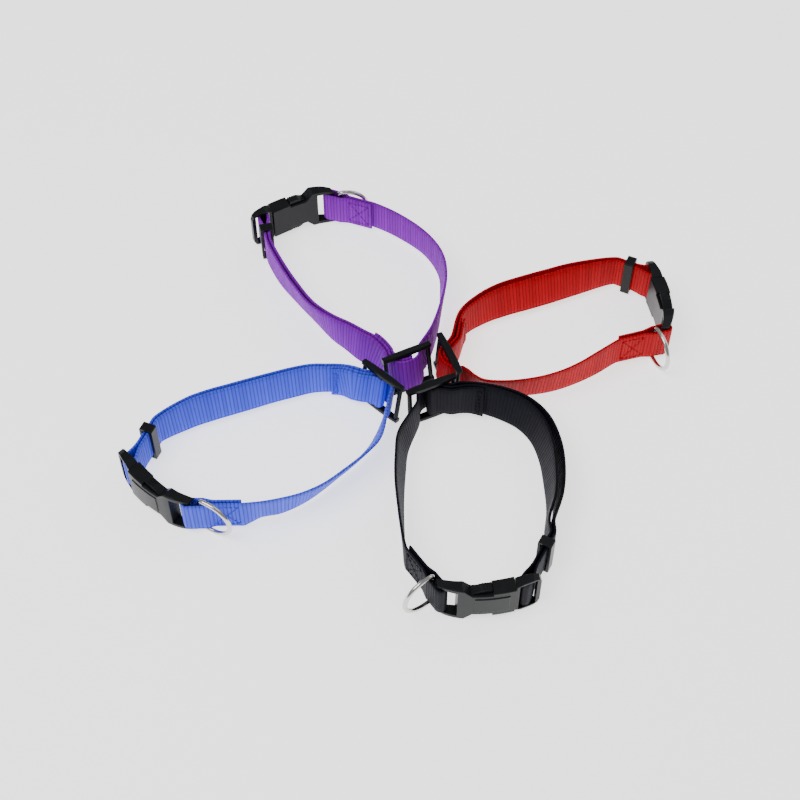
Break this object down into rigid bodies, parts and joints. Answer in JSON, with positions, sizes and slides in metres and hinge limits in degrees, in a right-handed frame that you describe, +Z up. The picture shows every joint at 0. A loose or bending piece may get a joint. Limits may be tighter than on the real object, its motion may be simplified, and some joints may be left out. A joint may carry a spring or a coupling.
{
  "type": "adjustable webbing collar set",
  "caption": "Adjustable webbing pet collars standing on edge in a rosette, each with a side-release buckle, strap slide, keeper and D-ring.",
  "frame": {"origin": "on the floor below the middle of the rosette's bounding box", "axes": "+Z up, across the webbing of the collars as they stand on edge; +X and +Y level, with the blue collar towards -X and the violet collar towards +Y"},
  "size_m": [0.2917, 0.2707, 0.0263],
  "materials": {
    "blue_webbing": "ribbed woven webbing",
    "violet_webbing": "ribbed woven webbing",
    "red_webbing": "ribbed woven webbing",
    "black_webbing": "ribbed woven webbing",
    "fitting_plastic": "satin moulded",
    "ring_metal": "nickel plated"
  },
  "bodies": {
    "collars": {"blue_strap_main": "blue_webbing", "blue_strap_tail": "blue_webbing", "blue_socket": "fitting_plastic", "blue_slide": "fitting_plastic", "blue_ring_stitch": "blue_webbing", "blue_tail_stitch": "blue_webbing", "violet_strap_main": "violet_webbing", "violet_strap_tail": "violet_webbing", "violet_socket": "fitting_plastic", "violet_slide": "fitting_plastic", "violet_ring_stitch": "violet_webbing", "violet_tail_stitch": "violet_webbing", "red_strap_main": "red_webbing", "red_strap_tail": "red_webbing", "red_socket": "fitting_plastic", "red_slide": "fitting_plastic", "red_ring_stitch": "red_webbing", "red_tail_stitch": "red_webbing", "black_strap_main": "black_webbing", "black_strap_tail": "black_webbing", "black_socket": "fitting_plastic", "black_slide": "fitting_plastic", "black_ring_stitch": "black_webbing", "black_tail_stitch": "black_webbing"},
    "blue_plug_end": {"blue_plug": "fitting_plastic", "blue_strap_plug_loop": "blue_webbing"},
    "blue_prong_upper_body": {"blue_prong_upper": "fitting_plastic"},
    "blue_prong_lower_body": {"blue_prong_lower": "fitting_plastic"},
    "blue_d_ring_body": {"blue_d_ring": "ring_metal"},
    "blue_keeper_body": {"blue_keeper": "fitting_plastic"},
    "violet_plug_end": {"violet_plug": "fitting_plastic", "violet_strap_plug_loop": "violet_webbing"},
    "violet_prong_upper_body": {"violet_prong_upper": "fitting_plastic"},
    "violet_prong_lower_body": {"violet_prong_lower": "fitting_plastic"},
    "violet_d_ring_body": {"violet_d_ring": "ring_metal"},
    "violet_keeper_body": {"violet_keeper": "fitting_plastic"},
    "red_plug_end": {"red_plug": "fitting_plastic", "red_strap_plug_loop": "red_webbing"},
    "red_prong_upper_body": {"red_prong_upper": "fitting_plastic"},
    "red_prong_lower_body": {"red_prong_lower": "fitting_plastic"},
    "red_d_ring_body": {"red_d_ring": "ring_metal"},
    "red_keeper_body": {"red_keeper": "fitting_plastic"},
    "black_plug_end": {"black_plug": "fitting_plastic", "black_strap_plug_loop": "black_webbing"},
    "black_prong_upper_body": {"black_prong_upper": "fitting_plastic"},
    "black_prong_lower_body": {"black_prong_lower": "fitting_plastic"},
    "black_d_ring_body": {"black_d_ring": "ring_metal"},
    "black_keeper_body": {"black_keeper": "fitting_plastic"}
  },
  "joints": [
    {"name": "blue_plug_release", "type": "slide", "parent": "collars", "child": "blue_plug_end", "axis": [-0.7361, 0.6769, 0], "range_m": [0, 0.028], "deforming": ["blue_prong_upper", "blue_prong_lower"]},
    {"name": "blue_prong_upper_squeeze", "type": "hinge", "parent": "blue_plug_end", "child": "blue_prong_upper_body", "pos_m": [-0.13636, -0.06112, 0.0198], "axis": [0.6769, 0.7361, 0], "range_deg": [0, 6.5], "stiffness_Nm_per_rad": 0.3},
    {"name": "blue_prong_lower_squeeze", "type": "hinge", "parent": "blue_plug_end", "child": "blue_prong_lower_body", "pos_m": [-0.13636, -0.06112, 0.0062], "axis": [-0.6769, -0.7361, 0], "range_deg": [0, 6.5], "stiffness_Nm_per_rad": 0.3},
    {"name": "blue_d_ring_swing", "type": "hinge", "parent": "collars", "child": "blue_d_ring_body", "pos_m": [-0.10198, -0.08184, 0.013], "axis": [0, 0, -1], "range_deg": [-8, 85]},
    {"name": "blue_keeper_slide", "type": "slide", "parent": "blue_plug_end", "child": "blue_keeper_body", "axis": [0.3939, 0.9191, 0], "range_m": [-0.005, 0.004]},
    {"name": "violet_plug_release", "type": "slide", "parent": "collars", "child": "violet_plug_end", "axis": [-0.8862, -0.4633, 0], "range_m": [0, 0.028], "deforming": ["violet_prong_upper", "violet_prong_lower"]},
    {"name": "violet_prong_upper_squeeze", "type": "hinge", "parent": "violet_plug_end", "child": "violet_prong_upper_body", "pos_m": [-0.077, 0.11909, 0.0198], "axis": [-0.4633, 0.8862, 0], "range_deg": [0, 6.5], "stiffness_Nm_per_rad": 0.3},
    {"name": "violet_prong_lower_squeeze", "type": "hinge", "parent": "violet_plug_end", "child": "violet_prong_lower_body", "pos_m": [-0.077, 0.11909, 0.0062], "axis": [0.4633, -0.8862, 0], "range_deg": [0, 6.5], "stiffness_Nm_per_rad": 0.3},
    {"name": "violet_d_ring_swing", "type": "hinge", "parent": "collars", "child": "violet_d_ring_body", "pos_m": [-0.03856, 0.12979, 0.013], "axis": [0, 0, 1], "range_deg": [0, 93]},
    {"name": "violet_keeper_slide", "type": "slide", "parent": "violet_plug_end", "child": "violet_keeper_body", "axis": [0.2079, -0.9781, 0], "range_m": [-0.001, 0.004]},
    {"name": "red_plug_release", "type": "slide", "parent": "collars", "child": "red_plug_end", "axis": [-0.1305, 0.9914, 0], "range_m": [0, 0.028], "deforming": ["red_prong_upper", "red_prong_lower"]},
    {"name": "red_prong_upper_squeeze", "type": "hinge", "parent": "red_plug_end", "child": "red_prong_upper_body", "pos_m": [0.13936, 0.06538, 0.0198], "axis": [0.9914, 0.1305, 0], "range_deg": [0, 6.5], "stiffness_Nm_per_rad": 0.3},
    {"name": "red_prong_lower_squeeze", "type": "hinge", "parent": "red_plug_end", "child": "red_prong_lower_body", "pos_m": [0.13936, 0.06538, 0.0062], "axis": [-0.9914, -0.1305, 0], "range_deg": [0, 6.5], "stiffness_Nm_per_rad": 0.3},
    {"name": "red_d_ring_swing", "type": "hinge", "parent": "collars", "child": "red_d_ring_body", "pos_m": [0.13417, 0.02874, 0.013], "axis": [0, 0, 1], "range_deg": [-73, 20]},
    {"name": "red_keeper_slide", "type": "slide", "parent": "red_plug_end", "child": "red_keeper_body", "axis": [-0.9063, 0.4226, 0], "range_m": [-0.0015, 0.004]},
    {"name": "black_plug_release", "type": "slide", "parent": "collars", "child": "black_plug_end", "axis": [0.9903, 0.1392, 0], "range_m": [0, 0.028], "deforming": ["black_prong_upper", "black_prong_lower"]},
    {"name": "black_prong_upper_squeeze", "type": "hinge", "parent": "black_plug_end", "child": "black_prong_upper_body", "pos_m": [0.05119, -0.12803, 0.0198], "axis": [0.1392, -0.9903, 0], "range_deg": [0, 6.5], "stiffness_Nm_per_rad": 0.3},
    {"name": "black_prong_lower_squeeze", "type": "hinge", "parent": "black_plug_end", "child": "black_prong_lower_body", "pos_m": [0.05119, -0.12803, 0.0062], "axis": [-0.1392, 0.9903, 0], "range_deg": [0, 6.5], "stiffness_Nm_per_rad": 0.3},
    {"name": "black_d_ring_swing", "type": "hinge", "parent": "collars", "child": "black_d_ring_body", "pos_m": [0.01265, -0.12405, 0.013], "axis": [0, 0, 1], "range_deg": [-70, 23]},
    {"name": "black_keeper_slide", "type": "slide", "parent": "black_plug_end", "child": "black_keeper_body", "axis": [0.4695, 0.8829, 0], "range_m": [-0.005, 0.004]}
  ]
}
